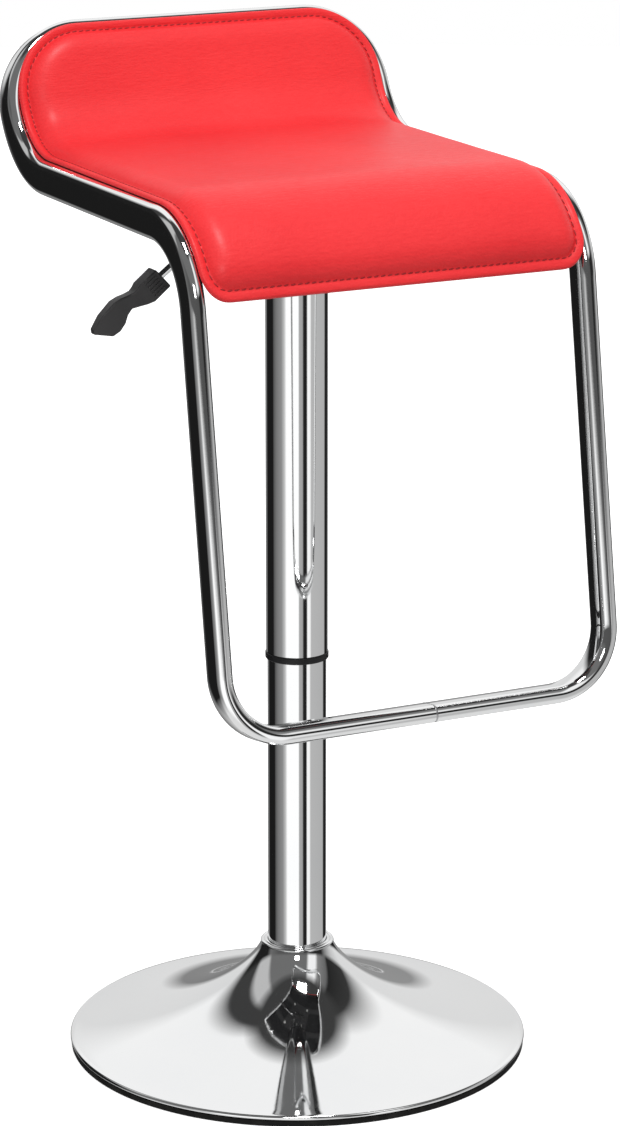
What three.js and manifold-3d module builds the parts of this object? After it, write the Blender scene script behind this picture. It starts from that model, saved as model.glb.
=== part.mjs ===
// Adjustable swivel bar stool: trumpet base, gas-lift column, one bent tube loop that
// carries the seat and the footrest, and a sewn seat panel. Millimetres, +Z up, the
// floor at Z = 0 and the swivel axis on Z. The sitter faces -Y; the lever is on -X.
import * as THREE from 'three';
import { mergeVertices } from 'three/addons/utils/BufferGeometryUtils.js';
import Module from 'manifold-3d';

const wasm = await Module();
wasm.setup();

// ---------- driving dimensions ----------
const GAP = 0.3;                 // air left between touching pieces
const WIDE = 48;                 // facets round the base
const ROUND = 24;                // facets round the column's pieces
const SMALL = 16;                // facets round small pieces

const BASE_R = 192.5;            // rim of the trumpet base
const BASE_SHEET = 2;            // spun sheet thickness
const RIM_Z = 5.3;               // underside of the rim, above the floor ring
const NECK_R = 30.3;             // rolled lip at the top of the trumpet
const NECK_Z = 90.3;

const COLUMN_R = 24.5;           // fixed column tube
const COLUMN_WALL = 2;
const COLUMN_BOTTOM = 14;
const COLUMN_TOP = 466;
const COVER_R = 25.6;            // sliding cover tube
const COVER_WALL = 0.8;
const WIPER_TOP = 343.5;         // top of the black ring at the cover's lower end
const WIPER_H = 5.5;

const CYLINDER_R = 14;           // gas cylinder
const CYLINDER_WALL = 2;
const CYLINDER_BOTTOM = 245;
const CYLINDER_TOP = 703.5;
const ROD_R = 5;                 // piston rod
const PISTON_Z = 280;
const STROKE = 210;
const BUSH_FLANGE_TOP = COLUMN_TOP + 3;
const HUB_BOTTOM = BUSH_FLANGE_TOP + STROKE + 1;   // still above the guide bush at the lowest height
const HUB_R = 20;
const PIN_R = 3;                 // release pin

const TUBE_A = 14;               // half the long side of the flat-oval frame tube
const TUBE_B = 7;                // half its short side
const LOOP_HALF = 169;           // centre line of the side tubes
const SEAT_Z = 733;              // centre line of the seat's side tubes
const BACK_TOP = [209, 838];     // loop corners as [y, z], before their bends
const VALLEY = [170, SEAT_Z];
const FRONT = [-158, SEAT_Z];
const FOOT = [-218, 350];
const BEND_TOP = 66;
const BEND_VALLEY = 77;
const BEND_FRONT = 68;
const BEND_FOOT = 51;

const PANEL_HALF = 166.5;        // half the panel's width
const PANEL_START = -2.7;        // lengths along the profile where the panel starts and stops
const PANEL_END = 460.3;
const PANEL_BACK_R = 60;         // its corner radii
const PANEL_FRONT_R = 22;
const INNER_START = 2.5;         // what lies inside the edge keeps clear of the top bar
const INNER_BACK_R = 63.5;
const BOARD_INSET = 7.8;         // edges of the inner layers, from the panel's edge
const FOAM_INSET = 17.5;
const BOARD_LOW = 5.5;           // layer heights above the tube's centre line
const BOARD_HIGH = 12.5;
const FOAM_LOW = 14.1;
const FOAM_HIGH = 24;
const COVER_SHEET = 1.5;
const FLANGE_LOW = 15.9;
const BACK_FLANGE_LOW = 14.3;

const STRAP = { y: 70, width: 30, thick: 4, top: SEAT_Z + 3.4 };
const PLATE = { halfX: 75, halfY: 88, thick: 3, top: STRAP.top - STRAP.thick - GAP };
const PLATE_BOTTOM = PLATE.top - PLATE.thick;
const BOLT_X = 60;
const BOLT_R = 3;
const BOLT_HEAD = { r: 5.5, height: 4 };
const WASHER_T = 1.5;
const HOUSING = { halfX: 40, halfY: 24.5, wall: 2.5, bottom: 698, top: PLATE_BOTTOM - GAP };

const LEVER_R = 3;               // lever rod
const LEVER_Z = 714.8;           // its straight inner stretch
const LEVER_BEND = [-60.2, LEVER_Z];
const LEVER_END = [-139, 655.3];
const PIVOT = [-28, 708.6];      // lever pivot as [x, z]
const PIVOT_R = 3;

// ---------- finishes ----------
const finish = (color, roughness, metalness) => new THREE.MeshStandardMaterial({ color, roughness, metalness });
const chrome = finish(0xd9dbdd, 0.08, 1);
const zinc = finish(0xa9acae, 0.4, 1);
const blackSteel = finish(0x1b1c1e, 0.45, 0.6);
const castIron = finish(0x3c3d3f, 0.7, 0.8);
const blackPlastic = finish(0x141416, 0.5, 0);
const rubber = finish(0x0f0f10, 0.8, 0);
const plywood = finish(0xb98f5d, 0.7, 0);
const foamYellow = finish(0xe6dcae, 0.95, 0);
const redLeather = finish(0xe02a35, 0.45, 0);
const blackLining = finish(0x18181a, 0.8, 0);

// ---------- helpers ----------
const stool = new THREE.Group();

function add(name, geometry, material) {
  const mesh = new THREE.Mesh(geometry, material);
  mesh.name = name;
  stool.add(mesh);
  return mesh;
}

// Turns a closed [radius, z] outline about Z. Outlines run up the outside and down the inside.
function turned(outline, facets = ROUND) {
  const points = outline.map(([r, z]) => new THREE.Vector2(r, z));
  if (outline[0][0] > 0) points.push(points[0].clone());
  return new THREE.LatheGeometry(points, facets).rotateX(Math.PI / 2);
}

function ring(inner, outer, low, high, facets = ROUND) {
  return turned([[inner, low], [outer, low], [outer, high], [inner, high]], facets);
}

function disc(radius, low, high, facets = SMALL) {
  return new THREE.CylinderGeometry(radius, radius, high - low, facets)
    .rotateX(Math.PI / 2).translate(0, 0, (low + high) / 2);
}

function plate(shape, low, high, curveSegments = 5) {
  const depth = high - low;
  return new THREE.ExtrudeGeometry(shape, { depth, bevelEnabled: false, curveSegments }).translate(0, 0, low);
}

function roundedRect(halfX, halfY, r) {
  const shape = new THREE.Shape();
  shape.moveTo(halfX - r, -halfY);
  shape.absarc(halfX - r, -halfY + r, r, -Math.PI / 2, 0, false);
  shape.absarc(halfX - r, halfY - r, r, 0, Math.PI / 2, false);
  shape.absarc(-halfX + r, halfY - r, r, Math.PI / 2, Math.PI, false);
  shape.absarc(-halfX + r, -halfY + r, r, Math.PI, Math.PI * 1.5, false);
  return shape;
}

function hole(shape, x, y, r) {
  const path = new THREE.Path();
  path.absarc(x, y, r, 0, Math.PI * 2, true);
  shape.holes.push(path);
}

function solid(geometry) {
  const bare = geometry.clone();
  for (const key of Object.keys(bare.attributes)) if (key !== 'position') bare.deleteAttribute(key);
  const welded = mergeVertices(bare, 1e-4);
  return new wasm.Manifold(new wasm.Mesh({
    numProp: 3,
    vertProperties: new Float32Array(welded.attributes.position.array),
    triVerts: new Uint32Array(welded.index.array),
  }));
}

function shaped(body) {
  const mesh = body.getMesh();
  const geometry = new THREE.BufferGeometry();
  geometry.setAttribute('position', new THREE.BufferAttribute(mesh.vertProperties, 3));
  geometry.setIndex(new THREE.BufferAttribute(mesh.triVerts, 1));
  geometry.computeVertexNormals();
  return geometry;
}

function indexed(positions, triangles) {
  const geometry = new THREE.BufferGeometry();
  geometry.setAttribute('position', new THREE.Float32BufferAttribute(positions.flat(), 3));
  geometry.setIndex(triangles.flat());
  geometry.computeVertexNormals();
  return geometry;
}

// ---------- the loop's side profile ----------
// It runs from the top bar down the back, forward along the seat and down the legs.
// Each point carries the seat's upward side as its normal.
const at = ([y, z]) => new THREE.Vector2(y, z);
const upward = (along) => new THREE.Vector2(along.y, -along.x);

function bend(before, corner, after, radius) {
  const into = corner.clone().sub(before).normalize();
  const out = after.clone().sub(corner).normalize();
  const turn = Math.acos(into.dot(out));
  const side = Math.sign(into.cross(out));
  const start = corner.clone().addScaledVector(into, -radius * Math.tan(turn / 2));
  return { into, turn, side, start, radius, length: radius * turn };
}

const corners = [BACK_TOP, VALLEY, FRONT, FOOT].map(at);
const valleyBend = bend(corners[0], corners[1], corners[2], BEND_VALLEY);
const frontBend = bend(corners[1], corners[2], corners[3], BEND_FRONT);

function onBend(b, length) {
  const angle = b.side * length / b.radius;
  const along = b.into.clone().rotateAround(new THREE.Vector2(), angle);
  const toCentre = new THREE.Vector2(-b.into.y, b.into.x).multiplyScalar(b.side * b.radius);
  const point = b.start.clone().add(toCentre).add(toCentre.clone().negate().rotateAround(new THREE.Vector2(), angle));
  return { point, along };
}

const backLength = valleyBend.start.distanceTo(corners[0]);
const valleyEnd = onBend(valleyBend, valleyBend.length);
const seatLength = frontBend.start.distanceTo(valleyEnd.point);
const frontEnd = onBend(frontBend, frontBend.length);
const VALLEY_AT = backLength;
const SEAT_AT = VALLEY_AT + valleyBend.length;
const FRONT_AT = SEAT_AT + seatLength;
const LEG_AT = FRONT_AT + frontBend.length;

function profile(s) {
  let spot;
  if (s < VALLEY_AT) spot = { point: corners[0].clone().addScaledVector(valleyBend.into, s), along: valleyBend.into };
  else if (s < SEAT_AT) spot = onBend(valleyBend, s - VALLEY_AT);
  else if (s < FRONT_AT) {
    spot = { point: valleyEnd.point.clone().addScaledVector(frontBend.into, s - SEAT_AT), along: frontBend.into };
  } else if (s < LEG_AT) spot = onBend(frontBend, s - FRONT_AT);
  else spot = { point: frontEnd.point.clone().addScaledVector(frontEnd.along, s - LEG_AT), along: frontEnd.along };
  return { ...spot, normal: upward(spot.along) };
}

// ---------- the seat's layers ----------
// A layer follows the profile. Its rings are outlines set in from its edge, each with the
// height of its lower and upper face above the tube's centre line, as [step, low, high];
// the innermost ring is filled straight across.
const BACK_STEPS = 6;
const FRONT_STEPS = 4;
const stations = [];
for (let i = 0; i <= 6; i++) stations.push(VALLEY_AT + valleyBend.length * i / 6);
stations.push((SEAT_AT + FRONT_AT) / 2);
for (let i = 0; i <= 6; i++) stations.push(FRONT_AT + frontBend.length * 0.9 * i / 6);

// One side of a rounded outline, from the back edge to the front edge, as [x, s] points.
function sideOf(inset) {
  const half = PANEL_HALF - inset;
  const end = PANEL_END - inset;
  const start = inset > 0 ? INNER_START + inset : PANEL_START;
  const backR = inset > 0 ? INNER_BACK_R - inset : PANEL_BACK_R;
  const frontR = Math.max(PANEL_FRONT_R - inset, 4);
  const points = [];
  for (let i = 0; i <= BACK_STEPS; i++) {
    const angle = i / BACK_STEPS * Math.PI / 2;
    points.push([half - backR * (1 - Math.sin(angle)), start + backR * (1 - Math.cos(angle))]);
  }
  const from = start + backR;
  const to = end - frontR;
  const reach = PANEL_END - PANEL_FRONT_R - from;
  for (const s of stations) {
    const between = s > from + 4 && s < PANEL_END - PANEL_FRONT_R - 4;
    if (between) points.push([half, from + (to - from) * (s - from) / reach]);
  }
  for (let i = 0; i <= FRONT_STEPS; i++) {
    const angle = i / FRONT_STEPS * Math.PI / 2;
    points.push([half - frontR * (1 - Math.cos(angle)), to + frontR * Math.sin(angle)]);
  }
  return points;
}

function layer(inset, rings) {
  const positions = [];
  const triangles = [];
  const quad = (a, b, c, d) => triangles.push([a, b, c], [a, c, d]);
  const chains = rings.map(([step]) => sideOf(inset + step));
  const length = chains[0].length;
  const loop = length * 2;
  for (const face of [1, 2]) {
    chains.forEach((chain, k) => {
      const mirrored = [...chain].reverse().map(([x, s]) => [-x, s]);
      for (const [x, s] of [...chain, ...mirrored]) {
        const spot = profile(s);
        const h = rings[k][face];
        positions.push([x, spot.point.x + spot.normal.x * h, spot.point.y + spot.normal.y * h]);
      }
    });
  }
  const upper = rings.length * loop;
  for (let k = 0; k < rings.length - 1; k++) {
    for (let i = 0; i < loop; i++) {
      const j = (i + 1) % loop;
      const [a, b] = [k * loop + i, k * loop + j];
      quad(a, b, b + loop, a + loop);
      quad(upper + a, upper + a + loop, upper + b + loop, upper + b);
    }
  }
  const inner = (rings.length - 1) * loop;
  for (let i = 0; i < length - 1; i++) {
    const [a, b, c, d] = [i, i + 1, loop - 2 - i, loop - 1 - i].map((n) => inner + n);
    quad(a, b, c, d);
    quad(upper + a, upper + d, upper + c, upper + b);
  }
  for (let i = 0; i < loop; i++) {
    const j = (i + 1) % loop;
    quad(i, upper + i, upper + j, j);
  }
  return indexed(positions, triangles);
}

// ---------- base ----------
function trumpet(offset, divisions) {
  const curve = new THREE.CubicBezierCurve(
    new THREE.Vector2(BASE_R - 4.5, 9.5), new THREE.Vector2(90, 22),
    new THREE.Vector2(38, 66), new THREE.Vector2(NECK_R, NECK_Z - 2.5),
  );
  return curve.getPoints(divisions).map((p, i) => {
    const along = curve.getTangent(i / divisions);
    return [p.x - along.y * offset, p.y + along.x * offset];
  });
}

const outside = trumpet(0, 12);
const inside = trumpet(BASE_SHEET, 7).reverse();
add('base_shell', turned([
  [BASE_R - 2, RIM_Z], [BASE_R, RIM_Z + 0.8], [BASE_R, RIM_Z + 2], [BASE_R - 1.2, RIM_Z + 3.2],
  ...outside,
  [NECK_R - 0.3, NECK_Z - 0.7], [NECK_R - 1, NECK_Z], [NECK_R - 1.6, NECK_Z - 0.4],
  ...inside,
  [BASE_R - 7, RIM_Z + 1.8], [BASE_R - 6, RIM_Z],
], WIDE), chrome);

add('floor_ring', turned([
  [BASE_R - 12, 0], [BASE_R - 2, 0], [BASE_R - 0.8, 1], [BASE_R - 0.8, RIM_Z - GAP], [BASE_R - 12, RIM_Z - GAP],
], WIDE), rubber);

add('stiffener_plate', ring(29.5, 176, RIM_Z, 7.9, WIDE), blackSteel);
add('ballast_ring', turned([[60, 8.2], [142, 8.2], [142, 12], [118, 16], [60, 16]], WIDE), castIron);
add('hub_sleeve', turned([
  [COLUMN_R + GAP, 8.2], [56, 8.2], [56, 11.5], [30, 11.5], [28, 14], [28, 62], [COLUMN_R + GAP, 62],
]), blackSteel);
add('collar_bush', ring(COLUMN_R + GAP, 28, 76, 85.5), blackPlastic);
add('collar_trim', turned([
  [COLUMN_R + GAP, 85.9], [27.2, 85.9], [27.6, 87], [27.6, 89.6], [26.8, 90.6], [COLUMN_R + GAP, 90.6],
]), chrome);

// ---------- column and its thrust bearing ----------
add('column_tube', ring(COLUMN_R - COLUMN_WALL, COLUMN_R, COLUMN_BOTTOM, COLUMN_TOP), chrome);
const BORE_R = COLUMN_R - COLUMN_WALL - GAP;
add('column_end_plate', ring(4.4, BORE_R, 15, 20), blackSteel);
add('guide_bush', turned([
  [CYLINDER_R + GAP, COLUMN_TOP - 58], [BORE_R, COLUMN_TOP - 58], [BORE_R, COLUMN_TOP + GAP],
  [COLUMN_R - 0.5, COLUMN_TOP + GAP], [COLUMN_R - 0.5, BUSH_FLANGE_TOP], [CYLINDER_R + GAP, BUSH_FLANGE_TOP],
]), blackPlastic);
add('lower_thrust_washer', ring(4.4, 12, 20.3, 22.3, SMALL), zinc);

function ballCage() {
  const balls = 8;
  const orbit = 8.3;
  let cage = solid(ring(5.4, 11.2, 23.7, 25.1, SMALL));
  for (let i = 0; i < balls; i++) {
    const angle = i / balls * Math.PI * 2;
    const ball = new THREE.SphereGeometry(1.75, 8, 5)
      .translate(orbit * Math.cos(angle), orbit * Math.sin(angle), 24.4);
    cage = cage.add(solid(ball));
  }
  return shaped(cage);
}
add('ball_cage', ballCage(), zinc);

// ---------- spindle: turns in the base ----------
add('piston_rod', turned([
  [0, 7.5], [3.6, 7.5], [4.1, 8], [4.1, 29.6], [ROD_R, 29.6], [ROD_R, PISTON_Z + 20], [0, PISTON_Z + 20],
], SMALL), chrome);
add('upper_thrust_washer', ring(4.4, 12, 26.5, 28.5, SMALL), zinc);
add('rod_clip', ring(4.4, 8.5, 12.2, 14.4, SMALL), zinc);
add('landing_bumper', ring(ROD_R + GAP, 12, 29.9, 34, SMALL), rubber);
add('piston', turned([
  [ROD_R + GAP, PISTON_Z], [11.6, PISTON_Z], [11.6, PISTON_Z + 4], [10.4, PISTON_Z + 5],
  [10.4, PISTON_Z + 8], [11.6, PISTON_Z + 9], [11.6, PISTON_Z + 12], [ROD_R + GAP, PISTON_Z + 12],
], SMALL), blackPlastic);
add('piston_nut', turned([
  [ROD_R + 1, PISTON_Z + 12.4], [8.2, PISTON_Z + 12.4], [8.2, PISTON_Z + 17.5], [ROD_R + 1, PISTON_Z + 17.5],
], 6), zinc);

// ---------- gas cylinder and cover: rise with the seat ----------
const CYLINDER_BORE = CYLINDER_R - CYLINDER_WALL;
add('gas_cylinder', turned([
  [CYLINDER_BORE, CYLINDER_BOTTOM], [CYLINDER_R, CYLINDER_BOTTOM], [CYLINDER_R, 670], [13.3, CYLINDER_TOP - 1],
  [12.4, CYLINDER_TOP], [3.4, CYLINDER_TOP], [3.4, CYLINDER_TOP - 8], [CYLINDER_BORE - 1, CYLINDER_TOP - 10],
  [CYLINDER_BORE - 1, 660], [CYLINDER_BORE, 658],
]), blackSteel);
add('rod_gland', ring(ROD_R + GAP, CYLINDER_BORE - GAP, CYLINDER_BOTTOM + 1, CYLINDER_BOTTOM + 17, SMALL), zinc);
add('rebound_stop', ring(ROD_R + GAP, 10.5, CYLINDER_BOTTOM + 17.4, PISTON_Z - 0.4, SMALL), rubber);

const COVER_TOP = HOUSING.bottom - GAP;
add('cover_tube', ring(COVER_R - COVER_WALL, COVER_R, WIPER_TOP + GAP, COVER_TOP), chrome);
const WIPER_BOTTOM = WIPER_TOP - WIPER_H;
const WIPER_R = COVER_R + 0.7;
add('wiper_ring', turned([
  [COLUMN_R + 0.2, WIPER_BOTTOM], [WIPER_R - 0.4, WIPER_BOTTOM], [WIPER_R, WIPER_BOTTOM + 0.5],
  [WIPER_R, WIPER_TOP - 0.5], [WIPER_R - 0.4, WIPER_TOP], [COLUMN_R + 0.2, WIPER_TOP],
]), blackPlastic);
const COVER_BORE = COVER_R - COVER_WALL - GAP;
add('cover_centring_ring', ring(HUB_R + GAP, COVER_BORE, HUB_BOTTOM + 2, HUB_BOTTOM + 13), blackPlastic);
add('taper_hub', turned([
  [CYLINDER_R + GAP, HUB_BOTTOM], [HUB_R, HUB_BOTTOM], [HUB_R, COVER_TOP],
  [CYLINDER_R - 0.2, COVER_TOP], [CYLINDER_R + GAP, HUB_BOTTOM + 4],
]), blackSteel);

// ---------- mechanism under the seat ----------
function leverHousing() {
  const { halfX, halfY, wall, bottom, top } = HOUSING;
  const section = new THREE.Shape();
  section.moveTo(-halfY, bottom);
  section.lineTo(halfY, bottom);
  section.lineTo(halfY, top);
  section.lineTo(halfY - wall, top);
  section.lineTo(halfY - wall, bottom + wall);
  section.lineTo(-halfY + wall, bottom + wall);
  section.lineTo(-halfY + wall, top);
  section.lineTo(-halfY, top);
  section.closePath();
  // The section lies in Y and Z, and its length runs along X.
  const channel = new THREE.ExtrudeGeometry(section, { depth: halfX * 2, bevelEnabled: false })
    .applyMatrix4(new THREE.Matrix4().set(0, 0, 1, -halfX, 1, 0, 0, 0, 0, 1, 0, 0, 0, 0, 0, 1));
  const bore = disc(CYLINDER_R + GAP, bottom - 5, bottom + wall + 5, ROUND);
  const pinHole = new THREE.CylinderGeometry(PIVOT_R + 0.15, PIVOT_R + 0.15, halfY * 3, SMALL)
    .translate(PIVOT[0], 0, PIVOT[1]);
  return shaped(solid(channel).subtract(solid(bore)).subtract(solid(pinHole)));
}
add('lever_housing', leverHousing(), blackSteel);

const plateShape = roundedRect(PLATE.halfX, PLATE.halfY, 14);
hole(plateShape, 0, 0, 9);
const boltSpots = [[-1, -1], [1, -1], [1, 1], [-1, 1]].map(([i, j]) => [i * BOLT_X, j * STRAP.y]);
for (const [x, y] of boltSpots) hole(plateShape, x, y, BOLT_R + 0.5);
add('mount_plate', plate(plateShape, PLATE_BOTTOM, PLATE.top), blackSteel);

for (const [name, side] of [['front_strap', -1], ['rear_strap', 1]]) {
  const reach = LOOP_HALF - TUBE_B - GAP;
  const shape = roundedRect(reach, STRAP.width / 2, 1);
  for (const i of [-1, 1]) hole(shape, i * BOLT_X, 0, BOLT_R + 0.5);
  const bar = plate(shape, STRAP.top - STRAP.thick, STRAP.top).translate(0, side * STRAP.y, 0);
  add(name, bar, blackSteel);
}

const BOARD_Z = SEAT_Z + BOARD_LOW;
const BOARD_TOP = SEAT_Z + BOARD_HIGH;
boltSpots.forEach(([x, y], i) => {
  const washerTop = PLATE_BOTTOM - GAP;
  const headTop = washerTop - WASHER_T - GAP;
  const bolt = turned([
    [0, headTop - BOLT_HEAD.height], [BOLT_HEAD.r, headTop - BOLT_HEAD.height], [BOLT_HEAD.r, headTop],
    [BOLT_R, headTop], [BOLT_R, BOARD_TOP - 1], [0, BOARD_TOP - 1],
  ], 12);
  add(`bolt_${i + 1}`, bolt.translate(x, y, 0), zinc);
  add(`washer_${i + 1}`, ring(BOLT_R + 0.4, 8, washerTop - WASHER_T, washerTop, 16).translate(x, y, 0), zinc);
  const nut = turned([
    [BOLT_R + GAP, BOARD_Z + 0.3], [BOLT_R + 1.4, BOARD_Z + 0.3], [BOLT_R + 1.4, BOARD_TOP + GAP],
    [9, BOARD_TOP + GAP], [9, BOARD_TOP + 1.3], [BOLT_R + GAP, BOARD_TOP + 1.3],
  ], 16);
  add(`tee_nut_${i + 1}`, nut.translate(x, y, 0), zinc);
});

// ---------- frame loop ----------
function frameLoop() {
  const reach = LOOP_HALF;
  const spots = [];
  const push = (x, point, along3, normal) => spots.push({
    point: new THREE.Vector3(x, point.x, point.y), along: along3, normal: new THREE.Vector3(0, normal.x, normal.y),
  });
  // One corner between a cross bar and a side: it follows the profile away from the bar.
  const corner = (bar, radius, side, away, steps, reversed) => {
    const list = [];
    for (let i = 0; i <= steps; i++) {
      const angle = i / steps * Math.PI / 2;
      const x = side * (reach - radius + radius * Math.sin(angle));
      const { point, along, normal } = profile(bar + away * radius * (1 - Math.cos(angle)));
      const down = along.clone().multiplyScalar(away * Math.sin(angle));
      list.push([x, point, new THREE.Vector3(side * Math.cos(angle), down.x, down.y), normal]);
    }
    if (reversed) list.reverse().forEach((entry) => entry[2].negate());
    list.forEach((entry) => push(...entry));
  };
  const sideBends = (side, reversed) => {
    const stations = [];
    // The first corner has already gone round the start of the valley bend.
    for (let i = 1; i <= 7; i++) stations.push(BEND_TOP + (SEAT_AT - BEND_TOP) * i / 7);
    for (let i = 0; i <= 9; i++) stations.push(FRONT_AT + frontBend.length * i / 9);
    if (reversed) stations.reverse();
    for (const s of stations) {
      const { point, along, normal } = profile(s);
      const sign = reversed ? -1 : 1;
      push(side * reach, point, new THREE.Vector3(0, along.x * sign, along.y * sign), normal);
    }
  };
  const total = LEG_AT + corners[3].distanceTo(frontEnd.point);
  corner(0, BEND_TOP, 1, 1, 10, false);
  sideBends(1, false);
  corner(total, BEND_FOOT, 1, -1, 9, true);
  corner(total, BEND_FOOT, -1, -1, 9, false);
  sideBends(-1, true);
  corner(0, BEND_TOP, -1, 1, 10, true);

  const section = [];
  for (const end of [1, -1]) {
    for (let i = 0; i <= 6; i++) {
      const angle = (i / 6 - 0.5) * Math.PI + (end < 0 ? Math.PI : 0);
      section.push([end * (TUBE_A - TUBE_B) + TUBE_B * Math.cos(angle), TUBE_B * Math.sin(angle)]);
    }
  }
  const positions = [];
  for (const { point, along, normal } of spots) {
    const across = new THREE.Vector3().crossVectors(along, normal).normalize();
    for (const [a, b] of section) {
      const p = point.clone().addScaledVector(normal, a).addScaledVector(across, b);
      positions.push([p.x, p.y, p.z]);
    }
  }
  const triangles = [];
  const around = section.length;
  for (let i = 0; i < spots.length; i++) {
    const next = (i + 1) % spots.length;
    for (let j = 0; j < around; j++) {
      const k = (j + 1) % around;
      triangles.push([i * around + j, next * around + k, next * around + j]);
      triangles.push([i * around + j, i * around + k, next * around + k]);
    }
  }
  return indexed(positions, triangles);
}
add('seat_frame', frameLoop(), chrome);

// ---------- seat panel, from the underside up ----------
function drilled(geometry, radius) {
  let body = solid(geometry);
  for (const [x, y] of boltSpots) {
    body = body.subtract(solid(disc(radius, SEAT_Z - 5, SEAT_Z + 20, 16).translate(x, y, 0)));
  }
  return shaped(body);
}

// The two covers are sewn together round the edge: the back one wraps the board.
const PAN_LOW = BOARD_LOW - GAP - COVER_SHEET;
const BACK_FLANGE_HIGH = BACK_FLANGE_LOW + 1.3;
add('back_cover', drilled(layer(0, [
  [0, BACK_FLANGE_LOW, BACK_FLANGE_HIGH],
  [4.8, BACK_FLANGE_LOW, BACK_FLANGE_HIGH],
  [5.3, PAN_LOW, BACK_FLANGE_HIGH],
  [6.7, PAN_LOW, BACK_FLANGE_HIGH],
  [7.2, PAN_LOW, BOARD_LOW - GAP],
]), BOLT_R + 0.6), blackLining);

add('seat_board', drilled(layer(BOARD_INSET, [[0, BOARD_LOW, BOARD_HIGH]]), BOLT_R + 1.7), plywood);

const FOAM_EDGE = FOAM_LOW + 5;
add('seat_foam', layer(FOAM_INSET, [[0, FOAM_LOW, FOAM_EDGE], [9, FOAM_LOW, FOAM_HIGH]]), foamYellow);

const FLANGE_HIGH = FLANGE_LOW + COVER_SHEET;
const COVER_LOW = FOAM_HIGH + GAP * 2;
add('seat_cover', layer(0, [
  [0, FLANGE_LOW, FLANGE_HIGH],
  [9, FLANGE_LOW, FLANGE_HIGH],
  [15.5, FLANGE_LOW, FOAM_EDGE + 2.4],
  [16.8, FOAM_EDGE + 0.5, FOAM_EDGE + 3],
  [26, COVER_LOW, COVER_LOW + COVER_SHEET],
]), redLeather);

// ---------- lever ----------
class LeverLine extends THREE.Curve {
  constructor() {
    super();
    const corner = new THREE.Vector2(...LEVER_BEND);
    const start = new THREE.Vector2(5, LEVER_Z);
    const end = new THREE.Vector2(...LEVER_END);
    const radius = 14;
    const into = corner.clone().sub(start).normalize();
    const out = end.clone().sub(corner).normalize();
    const reach = radius * Math.tan(Math.acos(into.dot(out)) / 2);
    this.path = new THREE.Path();
    this.path.moveTo(start.x, start.y);
    this.path.lineTo(corner.x - into.x * reach, corner.y - into.y * reach);
    this.path.quadraticCurveTo(corner.x, corner.y, corner.x + out.x * reach, corner.y + out.y * reach);
    this.path.lineTo(end.x, end.y);
  }

  getPoint(t, target = new THREE.Vector3()) {
    const p = this.path.getPoint(t);
    return target.set(p.x, 0, p.y);
  }
}

function leverRod() {
  const section = new THREE.Shape().absarc(0, 0, LEVER_R, 0, Math.PI * 2, false);
  const rod = new THREE.ExtrudeGeometry(section, {
    steps: 16, extrudePath: new LeverLine(), bevelEnabled: false, curveSegments: 6,
  });
  const acrossPivot = (r, length) => new THREE.CylinderGeometry(r, r, length, SMALL)
    .translate(PIVOT[0], 0, PIVOT[1]);
  const eyeOuter = acrossPivot(5.2, 32);
  const eyeInner = acrossPivot(PIVOT_R + 0.15, 40);
  return shaped(solid(rod).add(solid(eyeOuter)).subtract(solid(eyeInner)));
}
add('lever_rod', leverRod(), chrome);
add('lever_pivot_pin', new THREE.CylinderGeometry(PIVOT_R, PIVOT_R, HOUSING.halfY * 2 + 5, SMALL)
  .translate(PIVOT[0], 0, PIVOT[1]), zinc);
// The pin's crowned top stays clear of the rod as the rod tips.
const PIN_TOP = LEVER_Z - LEVER_R - GAP;
add('release_pin', turned([
  [0, 680], [PIN_R, 680], [PIN_R, PIN_TOP - 0.9], [PIN_R - 1.3, PIN_TOP], [0, PIN_TOP],
], SMALL), zinc);

// The grip is a square socket on the rod, a waist and a thumb paddle that droops further.
function leverGrip() {
  const outline = new THREE.Shape();
  outline.moveTo(-127.4, 676);
  outline.lineTo(-142.5, 663.8);
  outline.lineTo(-144.5, 659.2);
  outline.quadraticCurveTo(-152, 657.8, -163, 652);
  outline.lineTo(-180, 631);
  outline.quadraticCurveTo(-182.5, 626.5, -177, 625.4);
  outline.lineTo(-161, 626);
  outline.quadraticCurveTo(-156, 628, -153.5, 634);
  outline.quadraticCurveTo(-151.5, 642, -146, 646.5);
  outline.quadraticCurveTo(-136, 650.5, -129, 650);
  outline.lineTo(-114, 662);
  outline.closePath();
  const depth = 14;
  // The outline lies in X and Z, and its thickness runs along Y.
  const body = new THREE.ExtrudeGeometry(outline, { depth, bevelEnabled: false, curveSegments: 5 })
    .applyMatrix4(new THREE.Matrix4().set(1, 0, 0, 0, 0, 0, -1, depth / 2, 0, 1, 0, 0, 0, 0, 0, 1));
  const out = new THREE.Vector3(LEVER_END[0] - LEVER_BEND[0], 0, LEVER_END[1] - LEVER_BEND[1]).normalize();
  const socket = new THREE.CylinderGeometry(LEVER_R + GAP, LEVER_R + GAP, 60, SMALL)
    .applyQuaternion(new THREE.Quaternion().setFromUnitVectors(new THREE.Vector3(0, 1, 0), out))
    .translate(LEVER_END[0] - out.x * 29.5, 0, LEVER_END[1] - out.z * 29.5);
  return shaped(solid(body).subtract(solid(socket)));
}
add('lever_grip', leverGrip(), blackPlastic);

export default stool;
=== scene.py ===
# Looks of the adjustable swivel bar stool, built round its frame.
# Lengths in the settings are millimetres. +Z is up, the sitter faces -Y and the lever is on -X.
import math

import bmesh
import bpy
from mathutils import Matrix, Vector
from mathutils.noise import noise as noiseAt


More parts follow.
